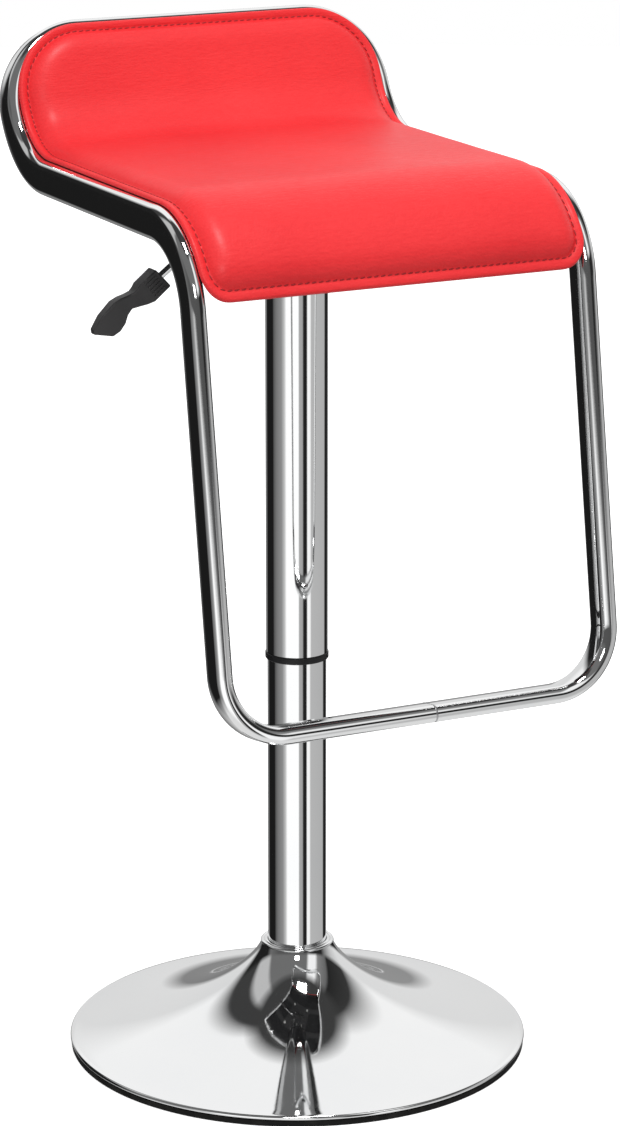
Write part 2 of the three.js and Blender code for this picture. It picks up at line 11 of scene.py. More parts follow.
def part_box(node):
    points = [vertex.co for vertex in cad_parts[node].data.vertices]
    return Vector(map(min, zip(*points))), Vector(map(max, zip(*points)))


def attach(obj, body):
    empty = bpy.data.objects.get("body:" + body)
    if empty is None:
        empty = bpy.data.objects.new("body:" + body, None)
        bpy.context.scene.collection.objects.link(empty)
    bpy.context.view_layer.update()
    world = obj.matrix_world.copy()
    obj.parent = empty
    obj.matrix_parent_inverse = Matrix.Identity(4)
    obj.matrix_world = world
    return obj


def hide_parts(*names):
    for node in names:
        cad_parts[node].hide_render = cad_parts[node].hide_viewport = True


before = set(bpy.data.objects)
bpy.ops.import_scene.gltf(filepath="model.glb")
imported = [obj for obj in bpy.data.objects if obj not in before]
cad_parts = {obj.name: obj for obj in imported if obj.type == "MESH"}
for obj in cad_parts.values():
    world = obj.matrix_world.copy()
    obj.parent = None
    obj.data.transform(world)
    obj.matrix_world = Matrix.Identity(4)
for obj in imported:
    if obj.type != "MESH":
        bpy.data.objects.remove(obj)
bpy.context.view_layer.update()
mm = 0.001
print("frame loaded:", len(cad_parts), "nodes")


# picking and starting pieces
def clearSelection():
    if bpy.context.object and bpy.context.object.mode != "OBJECT":
        bpy.ops.object.mode_set(mode="OBJECT")
    bpy.ops.object.select_all(action="DESELECT")


def startPiece(name):
    # the primitive just added gets its name, its place in its mesh, and is opened for editing
    piece = bpy.context.active_object
    piece.name = name
    piece.data.name = name
    bpy.ops.object.transform_apply(location=True, rotation=True, scale=True)
    bpy.ops.object.mode_set(mode="EDIT")
    bpy.ops.mesh.select_all(action="SELECT")
    return piece


def pickVerts(piece, test):
    mesh = bmesh.from_edit_mesh(piece.data)
    for vert in mesh.verts:
        vert.select = test(vert.co)
    mesh.select_flush(True)
    mesh.select_flush(False)
    bmesh.update_edit_mesh(piece.data)


def endPiece(piece, smoothAngle=35, weld=0.002):
    bpy.ops.mesh.select_all(action="SELECT")
    bpy.ops.mesh.remove_doubles(threshold=weld * mm)
    bpy.ops.mesh.normals_make_consistent(inside=False)
    bpy.ops.object.mode_set(mode="OBJECT")
    bpy.ops.object.shade_smooth_by_angle(angle=math.radians(smoothAngle))
    return piece


def applyModifier(piece, kind, **settings):
    bpy.context.view_layer.objects.active = piece
    piece.select_set(True)
    modifier = piece.modifiers.new(kind, kind)
    for key, value in settings.items():
        setattr(modifier, key, value)
    bpy.ops.object.modifier_apply(modifier=modifier.name)


def mountPiece(piece, body, slot, finish, *nodes):
    piece.data.materials.clear()
    piece.data.materials.append(finish)
    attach(piece, body)
    if nodes:
        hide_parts(*nodes)


def arc(centreX, centreZ, radius, start, end, steps):
    # points of an arc as (x, z), with its angles in degrees
    angles = [math.radians(start + (end - start) * i / steps) for i in range(steps + 1)]
    return [(centreX + radius * math.cos(a), centreZ + radius * math.sin(a)) for a in angles]


def turnedPiece(name, outline, facets=160, smoothAngle=35):
    # a ring is extruded and resized from one (radius, z) point of a closed outline to the next
    clearSelection()
    radius, z = outline[0]
    place = (0, 0, z * mm)
    bpy.ops.mesh.primitive_circle_add(vertices=facets, radius=radius * mm, location=place)
    piece = startPiece(name)
    for (oldR, oldZ), (newR, newZ) in zip(outline, outline[1:] + outline[:1]):
        rise = (0, 0, (newZ - oldZ) * mm)
        bpy.ops.mesh.extrude_edges_move(TRANSFORM_OT_translate={"value": rise})
        size = newR / oldR
        bpy.ops.transform.resize(value=(size, size, 1), center_override=(0, 0, newZ * mm))
    return endPiece(piece, smoothAngle)


# shader wiring
class Wire:
    # one socket of a node tree, with sums written as plain expressions
    def __init__(self, tree, socket):
        self.tree = tree
        self.socket = socket

    def node(self, kind, settings, sockets, output=0):
        made = self.tree.nodes.new(kind)
        for key, value in settings.items():
            if key == "stops":
                fillRamp(made.color_ramp, value)
            elif key == "blend":
                made.color_ramp.interpolation = value
            else:
                setattr(made, key, value)
        for key, value in sockets.items():
            if isinstance(value, Wire):
                self.tree.links.new(value.socket, made.inputs[key])
            else:
                made.inputs[key].default_value = value
        return Wire(self.tree, made.outputs[output])

    def maths(self, operation, first, second=0.0):
        return self.node("ShaderNodeMath", {"operation": operation}, {0: first, 1: second})

    def __add__(self, other):
        return self.maths("ADD", self, other)

    def __radd__(self, other):
        return self.maths("ADD", other, self)

    def __sub__(self, other):
        return self.maths("SUBTRACT", self, other)

    def __rsub__(self, other):
        return self.maths("SUBTRACT", other, self)

    def __mul__(self, other):
        return self.maths("MULTIPLY", self, other)

    def __rmul__(self, other):
        return self.maths("MULTIPLY", other, self)

def fillRamp(ramp, stops):
    while len(ramp.elements) > 1:
        ramp.elements.remove(ramp.elements[-1])
    for i, (place, value) in enumerate(stops):
        stop = ramp.elements[0] if i == 0 else ramp.elements.new(place)
        stop.position = place
        shade = (value, value, value) if isinstance(value, (int, float)) else value
        stop.color = (*shade, 1)


def newFinish(name, constants):
    # a material with its shader's constants set; returns it with the wire of its coordinates
    finish = bpy.data.materials.new(name)
    finish.use_nodes = True
    tree = finish.node_tree
    shader = tree.nodes["Principled BSDF"]
    for key, value in constants.items():
        shader.inputs[key].default_value = value
    coords = tree.nodes.new("ShaderNodeTexCoord")
    return finish, shader, Wire(tree, coords.outputs["Object"])


def plug(shader, socket, wire):
    wire.tree.links.new(wire.socket, shader.inputs[socket])


def noise(coords, scale, detail=3, roughness=0.5, stretch=(1, 1, 1)):
    placed = coords.node("ShaderNodeMapping", {}, {"Vector": coords, "Scale": stretch})
    sockets = {"Vector": placed, "Scale": scale, "Detail": detail, "Roughness": roughness}
    return coords.node("ShaderNodeTexNoise", {}, sockets)


def mixColour(factor, first, second):
    settings = {"data_type": "RGBA"}
    return factor.node("ShaderNodeMix", settings, {0: factor, 6: first, 7: second}, output=2)


def spread(value, low, high, outLow=0.0, outHigh=1.0):
    # value's stretch from low to high becomes outLow to outHigh, and is held at its ends
    sockets = {"Value": value, "From Min": low, "From Max": high, "To Min": outLow, "To Max": outHigh}
    return value.node("ShaderNodeMapRange", {}, sockets)


def bump(height, depth, strength=1.0):
    return height.node("ShaderNodeBump", {}, {"Height": height, "Strength": strength, "Distance": depth})


# finishes
def chromeFinish():
    finish, shader, coords = newFinish("bright chrome", {"Metallic": 1.0, "IOR": 2.5})
    clouds = noise(coords, 9, 3)
    smears = noise(coords, 38, 4, 0.6, (1, 1, 0.25))
    pits = noise(coords, 420, 2)
    plug(shader, "Base Color", mixColour(clouds, (0.83, 0.84, 0.85, 1), (0.90, 0.90, 0.895, 1)))
    plug(shader, "Roughness", spread(smears, 0.45, 0.8, 0.035, 0.085))
    plug(shader, "Normal", bump(pits, 0.000004))
    return finish


def weldFinish():
    finish, shader, coords = newFinish("ground weld", {"Metallic": 1.0})
    lines = noise(coords, 500, 3, 0.6, (6, 1, 1))
    plug(shader, "Base Color", mixColour(lines, (0.36, 0.36, 0.37, 1), (0.62, 0.62, 0.63, 1)))
    plug(shader, "Roughness", spread(lines, 0.3, 0.7, 0.22, 0.38))
    plug(shader, "Normal", bump(lines, 0.00004))
    return finish


def plasticFinish(name, dark, light, gloss):
    finish, shader, coords = newFinish(name, {"Specular IOR Level": gloss})
    grain = noise(coords, 900, 4, 0.6)
    patches = noise(coords, 45, 2)
    plug(shader, "Base Color", mixColour(patches, dark, light))
    plug(shader, "Roughness", spread(patches, 0.3, 0.7, 0.34, 0.48))
    plug(shader, "Normal", bump(grain, 0.00006, 0.7))
    return finish


def rubberFinish():
    finish, shader, coords = newFinish("floor rubber", {"Specular IOR Level": 0.2})
    dust = noise(coords, 60, 4, 0.6)
    grain = noise(coords, 700, 3)
    dusty = spread(dust, 0.45, 0.85)
    plug(shader, "Base Color", mixColour(dusty, (0.006, 0.006, 0.006, 1), (0.03, 0.029, 0.027, 1)))
    plug(shader, "Roughness", spread(dust, 0.3, 0.7, 0.62, 0.85))
    plug(shader, "Normal", bump(grain, 0.00012))
    return finish


def paintedSteelFinish():
    finish, shader, coords = newFinish("black painted steel", {"IOR": 1.5})
    peel = noise(coords, 380, 2)
    scuffs = spread(noise(coords, 55, 5, 0.7, (1, 3, 1)), 0.62, 0.72)
    plug(shader, "Base Color", mixColour(scuffs, (0.014, 0.014, 0.015, 1), (0.07, 0.07, 0.072, 1)))
    plug(shader, "Roughness", spread(peel, 0.3, 0.7, 0.32, 0.5))
    plug(shader, "Normal", bump(peel, 0.00008))
    return finish


def castIronFinish():
    finish, shader, coords = newFinish("cast iron", {})
    sand = noise(coords, 330, 5, 0.7)
    rust = spread(noise(coords, 22, 4, 0.6), 0.55, 0.75)
    plug(shader, "Base Color", mixColour(rust, (0.045, 0.045, 0.047, 1), (0.12, 0.05, 0.025, 1)))
    plug(shader, "Metallic", 0.75 - rust * 0.6)
    plug(shader, "Roughness", spread(sand, 0.3, 0.7, 0.5, 0.8))
    plug(shader, "Normal", bump(sand, 0.0004))
    return finish


def zincFinish():
    finish, shader, coords = newFinish("zinc plated steel", {"Metallic": 1.0})
    bloom = noise(coords, 160, 4, 0.6)
    turning = noise(coords, 900, 2, 0.5, (1, 1, 4))
    plug(shader, "Base Color", mixColour(bloom, (0.42, 0.43, 0.45, 1), (0.66, 0.65, 0.60, 1)))
    plug(shader, "Roughness", spread(bloom, 0.3, 0.7, 0.24, 0.42))
    plug(shader, "Normal", bump(turning, 0.00003))
    return finish


def plywoodFinish():
    finish, shader, coords = newFinish("moulded plywood", {})
    plies = coords.node("ShaderNodeTexWave", {"bands_direction": "Z"}, {
        "Vector": coords, "Scale": 180, "Distortion": 1.5, "Detail": 2})
    fibres = noise(coords, 220, 4, 0.6, (0.12, 1, 1))
    tone = plies * 0.5 + fibres * 0.5
    plug(shader, "Base Color", mixColour(tone, (0.36, 0.22, 0.11, 1), (0.66, 0.47, 0.28, 1)))
    plug(shader, "Roughness", spread(fibres, 0.3, 0.7, 0.55, 0.75))
    plug(shader, "Normal", bump(fibres, 0.0001))
    return finish


def leatherFinish(name, dark, light):
    # grain and pull lines follow the piece as it was cut flat, through its flatPlace attribute
    gloss = {"Specular IOR Level": 0.2, "Coat Weight": 0.24, "Coat Roughness": 0.32}
    finish, shader, coords = newFinish(name, gloss)
    flat = coords.node("ShaderNodeAttribute", {"attribute_name": "flatPlace"}, {}, output=1)
    pores = flat.node("ShaderNodeTexVoronoi", {"feature": "F1"}, {"Vector": flat, "Scale": 620})
    hide = noise(flat, 260, 5, 0.62, (0.55, 1.5, 1))
    lines = noise(flat, 240, 4, 0.6, (0.45, 2.4, 1))
    tone = noise(flat, 7, 2)
    height = pores * 0.4 + hide * 0.7 + lines * 1.3
    shade = spread(hide * 0.4 + tone * 0.6, 0.3, 0.7)
    plug(shader, "Base Color", mixColour(shade, dark, light))
    plug(shader, "Roughness", spread(lines, 0.3, 0.7, 0.40, 0.56))
    plug(shader, "Normal", bump(height, 0.0004, 0.9))
    return finish


def paintedShadeLiningFinish():
    # coated cloth: a fine over-and-under weave that follows the piece as it was cut flat. Its near-black
    # colour is painted shade, standing in for the unlit underside of the seat.
    finish, shader, coords = newFinish("lining cloth black as painted shade", {"IOR": 1.45})
    flat = coords.node("ShaderNodeAttribute", {"attribute_name": "flatPlace"}, {}, output=1)
    threads = {"Vector": flat, "Scale": 330, "Distortion": 0.4, "Detail": 1}
    warp = flat.node("ShaderNodeTexWave", {"bands_direction": "X"}, threads)
    weft = flat.node("ShaderNodeTexWave", {"bands_direction": "Y"}, threads)
    lint = noise(flat, 90, 4, 0.6)
    weave = warp * weft
    tone = weave * 0.6 + lint * 0.4
    # near black as painted shade for the seat's unlit underside, with the weave and lint mixed in
    plug(shader, "Base Color", mixColour(tone, (0.006, 0.006, 0.007, 1), (0.032, 0.032, 0.034, 1)))
    plug(shader, "Roughness", spread(lint, 0.3, 0.7, 0.62, 0.85))
    plug(shader, "Normal", bump(weave, 0.00012, 0.8))
    return finish


def threadFinish():
    finish, shader, coords = newFinish("dark red thread", {"IOR": 1.5})
    twist = noise(coords, 1400, 2, 0.5, (1, 1, 2))
    plug(shader, "Base Color", mixColour(twist, (0.22, 0.003, 0.006, 1), (0.46, 0.008, 0.012, 1)))
    plug(shader, "Roughness", spread(twist, 0.3, 0.7, 0.45, 0.7))
    plug(shader, "Normal", bump(twist, 0.0001))
    return finish


chrome = chromeFinish()
groundWeld = weldFinish()
blackPlastic = plasticFinish("black plastic", (0.006, 0.006, 0.007, 1), (0.014, 0.014, 0.015, 1), 0.3)
gripPlastic = plasticFinish("grip plastic", (0.024, 0.023, 0.024, 1), (0.044, 0.042, 0.043, 1), 0.55)
floorRubber = rubberFinish()
blackSteel = paintedSteelFinish()
castIron = castIronFinish()
zincSteel = zincFinish()
plywood = plywoodFinish()
redLeather = leatherFinish("red leatherette", (0.74, 0.018, 0.024, 1), (0.85, 0.032, 0.036, 1))
paintedShadeLining = paintedShadeLiningFinish()
redThread = threadFinish()
print("finishes made")

# finishes of the frame's own nodes
fastenerNodes = [f"{kind}_{i}" for kind in ("bolt", "washer", "tee_nut") for i in range(1, 5)]
nodeFinishes = [
    (blackSteel, ["stiffener_plate", "hub_sleeve", "column_end_plate", "gas_cylinder", "taper_hub",
                  "lever_housing", "mount_plate", "front_strap", "rear_strap"]),
    (castIron, ["ballast_ring"]),
    (blackPlastic, ["guide_bush", "piston", "cover_centring_ring"]),
    (floorRubber, ["landing_bumper", "rebound_stop"]),
    (chrome, ["piston_rod"]),
    (plywood, ["seat_board"]),
    (zincSteel, ["lower_thrust_washer", "upper_thrust_washer", "ball_cage", "rod_clip", "piston_nut",
                 "rod_gland", "release_pin", "lever_pivot_pin", *fastenerNodes]),
]
for finish, names in nodeFinishes:
    for name in names:
        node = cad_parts[name]
        node.data.materials.clear()
        node.data.materials.append(finish)
print("frame nodes finished")

# base
baseShape = {
    "rim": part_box("base_shell")[1].x / mm,
    "rimBottom": 5.3,
    "sheet": 2.0,
    "curve": [(188, 9.5), (90, 22), (38, 66), (30.3, 87.8)],   # handles of the trumpet's outline
    "steps": 48,
    "facets": 224,
    "rimRound": 2.2,
    "rimWidth": 6,          # flat turned in under the rim
    "lip": 1.9,             # radius of the rolled lip at the neck
    "lipOut": 0.6,
}
footShape = {"width": 11.2, "lowEdge": 0.6, "topEdge": 0.5, "round": 1.2}


def trumpetOutline(handles, steps, offset=0.0):
    points = []
    for i in range(steps + 1):
        t = i / steps
        weights = [(1 - t) ** 3, 3 * t * (1 - t) ** 2, 3 * t * t * (1 - t), t ** 3]
        x = sum(w * p[0] for w, p in zip(weights, handles))
        z = sum(w * p[1] for w, p in zip(weights, handles))
        slopes = [3 * (1 - t) ** 2, 6 * t * (1 - t), 3 * t * t]
        dx = sum(w * (handles[k + 1][0] - handles[k][0]) for k, w in enumerate(slopes))
        dz = sum(w * (handles[k + 1][1] - handles[k][1]) for k, w in enumerate(slopes))
        length = math.hypot(dx, dz)
        points.append((x - dz / length * offset, z + dx / length * offset))
    return points


def makeBase():
    s = baseShape
    rim, bottom, rimRound = s["rim"], s["rimBottom"], s["rimRound"]
    flatEnd = rim - s["rimWidth"]
    neckX, neckZ = s["curve"][-1]
    outside = trumpetOutline(s["curve"], s["steps"])
    inside = trumpetOutline(s["curve"], s["steps"] // 2, s["sheet"])[::-1]
    rolledRim = arc(rim - rimRound, bottom + rimRound, rimRound, -90, 62, 10)
    rolledLip = arc(neckX - s["lip"] + s["lipOut"], neckZ + s["lipOut"], s["lip"], 10, 150, 9)
    outline = [*rolledRim, *outside, *rolledLip, *inside[1:], (flatEnd, bottom + rimRound), (flatEnd, bottom)]
    shell = turnedPiece("trumpet_base", outline, s["facets"], 50)
    mountPiece(shell, "base", "chrome", chrome, "base_shell")

    foot = footShape
    low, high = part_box("floor_ring")
    outer, top = high.x / mm, high.z / mm
    inner = outer - foot["width"]
    lowEdge, topEdge, footRound = foot["lowEdge"], foot["topEdge"], foot["round"]
    outline = [(inner, lowEdge), (inner + lowEdge, 0),
               *arc(outer - footRound, footRound, footRound, -90, 0, 5),
               (outer, top - topEdge), (outer - topEdge, top), (inner, top)]
    ring = turnedPiece("floor_ring_rubber", outline, s["facets"])
    mountPiece(ring, "base", "floor_rubber", floorRubber, "floor_ring")


collarShape = {
    "inner": 24.8,          # just clear of the column
    "lowEdge": (0.4, 0.5),  # across and up
    "outerRound": 1.2,
    "innerRound": 0.8,
    "bushEdge": 0.6,
    "trimFacets": 160,
    "bushFacets": 120,
}


def makeCollar():
    s = collarShape
    inner, outerRound, innerRound, edge = s["inner"], s["outerRound"], s["innerRound"], s["bushEdge"]
    across, up = s["lowEdge"]
    low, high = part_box("collar_trim")
    outer, bottom, top = high.x / mm, low.z / mm, high.z / mm
    outline = [(inner, bottom), (outer - across, bottom), (outer, bottom + up),
               *arc(outer - outerRound, top - outerRound, outerRound, 0, 90, 7),
               *arc(inner + innerRound, top - innerRound, innerRound, 90, 180, 5)]
    trim = turnedPiece("collar_trim_ring", outline, s["trimFacets"], 50)
    mountPiece(trim, "base", "chrome", chrome, "collar_trim")

    low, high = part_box("collar_bush")
    bottom, top, outer = low.z / mm, high.z / mm, high.x / mm
    outline = [(inner, bottom), (outer, bottom), (outer, top - edge), (outer - edge, top), (inner, top)]
    bush = turnedPiece("collar_bush_ring", outline, s["bushFacets"])
    mountPiece(bush, "base", "black_plastic", blackPlastic, "collar_bush")


# column
columnShape = {
    "facets": 192,
    "columnWall": 2.0,
    "coverWall": 0.8,
    "columnEdge": 0.35,
    "coverEdge": 0.21,
    "lengths": 6,
}
wiperShape = {"inner": 24.7, "lowEdge": 0.4, "nose": 0.9}


def tubeOutline(node, wall, edge, lengths):
    # a plain tube with broken edges, its walls cut into a few lengths
    low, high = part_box(node)
    outer, bottom, top = high.x / mm, low.z / mm, high.z / mm
    inner = outer - wall
    levels = [bottom + edge + (top - bottom - 2 * edge) * i / lengths for i in range(lengths + 1)]
    outside = [(outer, z) for z in levels]
    inside = [(inner, z) for z in reversed(levels)]
    return [(inner + edge, bottom), (outer - edge, bottom), *outside,
            (outer - edge, top), (inner + edge, top), *inside]


def makeColumn():
    s = columnShape
    outline = tubeOutline("column_tube", s["columnWall"], s["columnEdge"], s["lengths"])
    column = turnedPiece("fixed_column", outline, s["facets"], 30)
    mountPiece(column, "base", "chrome", chrome, "column_tube")

    outline = tubeOutline("cover_tube", s["coverWall"], s["coverEdge"], s["lengths"])
    cover = turnedPiece("sliding_cover", outline, s["facets"], 30)
    mountPiece(cover, "seat", "chrome", chrome, "cover_tube")

    low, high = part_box("wiper_ring")
    outer, bottom, top = high.x / mm, low.z / mm, high.z / mm
    inner, lowEdge, nose = wiperShape["inner"], wiperShape["lowEdge"], wiperShape["nose"]
    outline = [(inner, bottom + lowEdge), (inner + lowEdge, bottom),
               *arc(outer - nose, bottom + nose, nose, -90, 0, 6),
               *arc(outer - nose, top - nose, nose, 0, 90, 6), (inner, top)]
    wiper = turnedPiece("cover_wiper", outline, s["facets"], 30)
    mountPiece(wiper, "seat", "black_plastic", blackPlastic, "wiper_ring")


makeBase()
makeCollar()
makeColumn()
print("base and column made")

# side profile of the loop and the seat
# Seat pieces are made flat, with x across, -y along the profile from the top bar and z up
# from the tube's centre line, and are then laid on the profile.
loopShape = {
    "corners": [(209, 838), (170, 733), (-158, 733), (-218, 350)],   # y, z of its bends, before rounding
    "valleyRadius": 77,
    "frontRadius": 68,
    "half": 169,
    "tubeLong": 14,          # half the long side of the flat-oval tube
    "tubeShort": 7,
    "topRadius": 66,
    "footRadius": 51,
    "sectionPoints": 40,
    "topSteps": 28,
    "footSteps": 26,
    "step": 3.2,
}


class Bend:
    # one rounded corner of the side profile
    def __init__(self, before, corner, after, radius):
        self.into = (Vector(corner) - Vector(before)).normalized()
        out = (Vector(after) - Vector(corner)).normalized()
        self.turn = math.acos(self.into.dot(out))
        self.side = 1 if self.into.x * out.y - self.into.y * out.x > 0 else -1
        self.radius = radius
        self.start = Vector(corner) - self.into * radius * math.tan(self.turn / 2)
        self.centre = self.start + Vector((-self.into.y, self.into.x)) * self.side * radius
        self.length = radius * self.turn

    def at(self, length):
        turned = Matrix.Rotation(self.side * length / self.radius, 2)
        return self.centre + turned @ (self.start - self.centre), turned @ self.into


backTop, valleyCorner, frontCorner, footCorner = loopShape["corners"]
valleyBend = Bend(backTop, valleyCorner, frontCorner, loopShape["valleyRadius"])
frontBend = Bend(valleyCorner, frontCorner, footCorner, loopShape["frontRadius"])
valleyAt = (valleyBend.start - Vector(backTop)).length
seatAt = valleyAt + valleyBend.length
seatStart, seatAlong = valleyBend.at(valleyBend.length)
frontAt = seatAt + (frontBend.start - seatStart).length
legAt = frontAt + frontBend.length
legStart, legAlong = frontBend.at(frontBend.length)
loopLength = legAt + (Vector(footCorner) - legStart).length


def profileAt(s):
    if s < valleyAt:
        return Vector(backTop) + valleyBend.into * s, valleyBend.into
    if s < seatAt:
        return valleyBend.at(s - valleyAt)
    if s < frontAt:
        return seatStart + seatAlong * (s - seatAt), seatAlong
    if s < legAt:
        return frontBend.at(s - frontAt)
    return legStart + legAlong * (s - legAt), legAlong


def layOnProfile(piece):
    # keeps each point's flat place as an attribute, for patterns that follow the surface
    mesh = piece.data
    flatPlace = mesh.attributes.new("flatPlace", "FLOAT_VECTOR", "POINT")
    for vert, kept in zip(mesh.vertices, flatPlace.data):
        x, y, height = vert.co
        kept.vector = (x, y, height)
        point, along = profileAt(-y / mm)
        up = Vector((along.y, -along.x))
        place = point * mm + up * height
        vert.co = (x, place.x, place.y)
    mesh.update()


# tube loop
def ovalSection(name, x, y, growth=0.0):
    # the tube's section across X: a round one pulled apart into a flat oval
    s = loopShape
    clearSelection()
    bpy.ops.mesh.primitive_circle_add(
        vertices=s["sectionPoints"], radius=(s["tubeShort"] + growth) * mm,
        location=(x * mm, y * mm, 0), rotation=(0, math.pi / 2, 0))
    piece = startPiece(name)
    for side in (1, -1):
        pickVerts(piece, lambda place: place.z * side > 1e-6)
        bpy.ops.transform.translate(value=(0, 0, side * (s["tubeLong"] - s["tubeShort"]) * mm))
    bpy.ops.mesh.select_all(action="SELECT")
    return piece


def makeLoop():
    s = loopShape
    loop = ovalSection("tube_frame", 0, 0)

    def push(x, y):
        bpy.ops.mesh.extrude_edges_move(TRANSFORM_OT_translate={"value": (x * mm, y * mm, 0)})

    def corner(x, y, radius, steps):
        bpy.ops.mesh.spin(steps=steps, angle=math.pi / 2, center=(x * mm, y * mm, 0), axis=(0, 0, 1))

    push(s["half"] - s["topRadius"], 0)
    corner(s["half"] - s["topRadius"], -s["topRadius"], s["topRadius"], s["topSteps"])
    run = loopLength - s["topRadius"] - s["footRadius"]
    count = round(run / s["step"])
    for _ in range(count):
        push(0, -run / count)
    corner(s["half"] - s["footRadius"], -(loopLength - s["footRadius"]), s["footRadius"], s["footSteps"])
    push(-(s["half"] - s["footRadius"]), 0)
    bpy.ops.object.mode_set(mode="OBJECT")
    applyModifier(loop, "MIRROR", merge_threshold=0.01 * mm)
    layOnProfile(loop)
    bpy.ops.object.mode_set(mode="EDIT")
    endPiece(loop, 40)
    mountPiece(loop, "seat", "chrome", chrome, "seat_frame")


weldShape = {"at": 7.0, "width": 1.5, "proud": 0.14, "wall": 0.6, "edge": 0.1}


def makeWeld():
    # the ground ring where the two ends of the tube meet, on the footrest bar
    s = weldShape
    ring = ovalSection("footrest_weld", s["at"], -loopLength, s["proud"])
    bpy.ops.mesh.extrude_edges_move(TRANSFORM_OT_translate={"value": (s["width"] * mm, 0, 0)})
    bpy.ops.object.mode_set(mode="OBJECT")
    applyModifier(ring, "SOLIDIFY", thickness=s["wall"] * mm, offset=-1)
    applyModifier(ring, "BEVEL", width=s["edge"] * mm, segments=2)
    layOnProfile(ring)
    bpy.ops.object.mode_set(mode="EDIT")
    endPiece(ring, 50)
    mountPiece(ring, "seat", "chrome", groundWeld)


makeLoop()
makeWeld()
print("loop made")

# seat panel
panelShape = {
    "half": 166.5,
    "start": -2.7,           # its back edge, along the profile
    "end": 460.3,
    "backRadius": 60,
    "frontRadius": 22,
    "ringSteps": [0.25, 0.95, 1.8, 1.8, 1.0, 0.9, 0.9, 0.9, 1.1, 1.5, 2.0, 2.6, 3.2, 3.8, 4.4],
    "cell": 5.0,             # grid of the middle
    "barReach": 96,          # how far forward, and in from the edge, the top bar's room fades out
    "barFade": 5,
}


def ringInsets():
    s = panelShape
    insets = [0.0]
    for step in s["ringSteps"]:
        insets.append(insets[-1] + step)
    rest = s["half"] - insets[-1]
    count = round(rest / s["cell"])
    insets += [insets[-1] + rest * (i + 1) / count for i in range(count)]
    return insets


def outlineAt(inset):
    # the outline set in by inset: half its width, its back and front edges, its corner radii
    s = panelShape
    half = max(s["half"] - inset, 0.0)
    back = s["start"] + inset
    front = s["end"] - inset
    backR = min(max(s["backRadius"] - inset, 0.0), half)
    frontR = min(max(s["frontRadius"] - inset, 0.0), half)
    return half, back, front, backR, frontR


def sidePoint(inset, side, share):
    # sides 0 to 3 are back, right, front and left, each from one corner's middle to the next;
    # share runs from 0 to 1 along the side, clockwise from above
    half, back, front, backR, frontR = outlineAt(inset)
    if side in (0, 2):
        radius = backR if side == 0 else frontR
        edge = back if side == 0 else front
        inward = 1 if side == 0 else -1
        bend = radius * math.pi / 4
        straight = 2 * (half - radius)
        walked = share * (2 * bend + straight)
        mirrored = walked > bend + straight / 2
        if mirrored:
            walked = 2 * bend + straight - walked
        if walked < bend and radius > 0:
            angle = math.pi / 4 - walked / radius
            x = -(half - radius) - radius * math.sin(angle)
            y = edge + inward * radius * (1 - math.cos(angle))
        else:
            x = -(half - radius) + walked - bend
            y = edge
        if mirrored:
            x = -x
        return (x, y) if side == 0 else (-x, y)
    bendBack, bendFront = backR * math.pi / 4, frontR * math.pi / 4
    straight = (front - back) - backR - frontR
    total = bendBack + straight + bendFront
    walked = (share if side == 1 else 1 - share) * total
    if walked < bendBack and backR > 0:
        angle = math.pi / 4 - walked / backR
        x = half - backR * (1 - math.cos(angle))
        y = back + backR - backR * math.sin(angle)
    elif walked > bendBack + straight and frontR > 0:
        angle = (walked - bendBack - straight) / frontR
        x = half - frontR * (1 - math.cos(angle))
        y = front - frontR + frontR * math.sin(angle)
    else:
        x = half
        y = back + backR + walked - bendBack
    return (x, y) if side == 1 else (-x, y)


def easeUp(t):
    t = min(max(t, 0.0), 1.0)
    return t * t * (3 - 2 * t)


def panelSheet(name, heightAt, setIn=0.0, barClear=0.0):
    # a grid whose outer rings follow the panel's outline, each at its own height
    s = panelShape
    insets = ringInsets()
    across = 2 * (len(insets) - 1)
    middleLength = (s["end"] - s["start"]) - 2 * s["half"]
    lengthwise = across + round(middleLength / s["cell"])
    clearSelection()
    bpy.ops.mesh.primitive_grid_add(x_subdivisions=across, y_subdivisions=lengthwise, size=2)
    sheet = startPiece(name)
    bpy.ops.object.mode_set(mode="OBJECT")
    for vert in sheet.data.vertices:
        column = round((vert.co.x + 1) / 2 * across)
        row = round((1 - vert.co.y) / 2 * lengthwise)
        ring = min(column, row, across - column, lengthwise - row)
        inset = insets[ring] + setIn * (1 - insets[ring] / s["half"])
        if row == ring:
            side, share = 0, (column - ring) / max(across - 2 * ring, 1)
        elif row == lengthwise - ring:
            side, share = 2, (across - ring - column) / max(across - 2 * ring, 1)
        elif column == across - ring:
            side, share = 1, (row - ring) / (lengthwise - 2 * ring)
        else:
            side, share = 3, (lengthwise - ring - row) / (lengthwise - 2 * ring)
        if across == 2 * ring:   # the last ring is a line down the middle
            share = (row - ring) / (lengthwise - 2 * ring)
            x, y = 0.0, s["start"] + inset + share * (s["end"] - s["start"] - 2 * inset)
        else:
            x, y = sidePoint(inset, side, share)
        fromBack = max(0.0, 1 - (y - s["start"]) / s["barReach"])
        y += barClear * easeUp(inset / s["barFade"]) * fromBack ** 1.5
        vert.co = (x * mm, -y * mm, heightAt(inset) * mm)
    return sheet


padShape = {
    "flangeTop": 17.4,
    "sheet": 1.5,
    "edgeDrop": 3.3,         # the cover is turned down over its edge, onto the tube
    "edgeRound": 1.3,
    "unevenness": 0.45,      # soft high and low places of the foam
    "unevenSpan": 42,
    "stitchAt": 7.5,         # the seam, in from the edge
    "grooveDepth": 1.5,
    "grooveHalf": 2.0,
    "shoulderFrom": 8.4,
    "shoulderTo": 27,
    "shoulderCurve": 2.4,
    "rise": 8.0,
    "crown": 1.4,            # more over the middle
    "crownSpan": 133.2,
}


